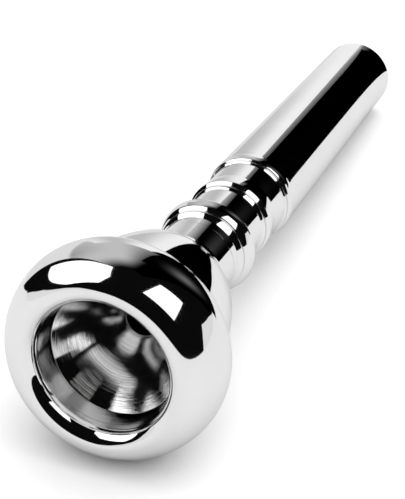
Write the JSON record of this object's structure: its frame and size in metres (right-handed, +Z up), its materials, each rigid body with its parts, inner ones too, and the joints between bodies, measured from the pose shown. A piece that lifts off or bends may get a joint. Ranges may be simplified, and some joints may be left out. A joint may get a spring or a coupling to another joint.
{
  "type": "brass instrument mouthpiece",
  "caption": "Cup mouthpiece for a small brass instrument: rounded screw rim, turned cup and beaded, tapered backbore shank.",
  "frame": {"origin": "on the surface the mouthpiece lies on, under the middle of its bounding box", "axes": "+Y runs from the rim towards the end of the shank, +Z up; the turning axis lies in the YZ plane and falls 6.27 degrees towards +Y"},
  "size_m": [0.0274, 0.0896, 0.0272],
  "materials": {
    "silver_plate": "brass, silver plated and mirror polished",
    "rubber": "moulded, satin black"
  },
  "bodies": {
    "backbore": {"backbore": "silver_plate"},
    "cup_seal": {"cup_seal": "rubber"},
    "cup": {"cup": "silver_plate"},
    "rim_seal": {"rim_seal": "rubber"},
    "rim": {"rim": "silver_plate"}
  },
  "joints": [
    {"name": "cup_travel", "type": "slide", "parent": "backbore", "child": "cup_seal", "axis": [0, -0.994, 0.1092], "range_m": [0, 0.008]},
    {"name": "cup_turn", "type": "hinge", "parent": "cup_seal", "child": "cup", "pos_m": [0, -0.04372, 0.01425], "axis": [0, -0.994, 0.1092], "range_deg": [0, 2304]},
    {"name": "rim_travel", "type": "slide", "parent": "cup", "child": "rim_seal", "axis": [0, -0.994, 0.1092], "range_m": [0, 0.006]},
    {"name": "rim_turn", "type": "hinge", "parent": "rim_seal", "child": "rim", "pos_m": [0, -0.04372, 0.01425], "axis": [0, -0.994, 0.1092], "range_deg": [0, 1440]}
  ],
  "couplings": [
    {"joint": "cup_turn", "follows": "cup_travel", "rad_per_m": 5026.5},
    {"joint": "rim_turn", "follows": "rim_travel", "rad_per_m": 4188.8}
  ]
}
